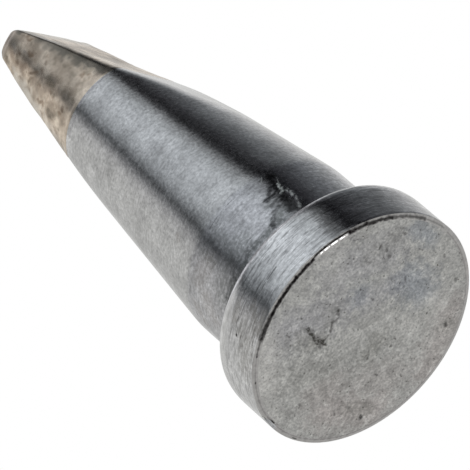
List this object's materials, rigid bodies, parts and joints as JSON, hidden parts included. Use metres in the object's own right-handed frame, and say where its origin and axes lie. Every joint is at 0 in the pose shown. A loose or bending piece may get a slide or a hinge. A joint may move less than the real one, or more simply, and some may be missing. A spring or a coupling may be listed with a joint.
{
  "type": "soldering iron tip",
  "caption": "Chisel soldering tip: round rear flange, a shank that tapers from a straight seat, and a tinned end ground to a flat blade.",
  "frame": {"origin": "centre of the rear face, which the tip stands on", "axes": "+Z from the rear face to the chisel end; the two flats of the chisel face +Y and -Y; the blade's width is along X"},
  "size_m": [0.0062, 0.0062, 0.0136],
  "materials": {
    "plated_metal": "satin iron plating with fine turning lines, dull solder tinning on the chisel end"
  },
  "bodies": {
    "root": {"soldering_tip": "plated_metal"}
  },
  "joints": []
}
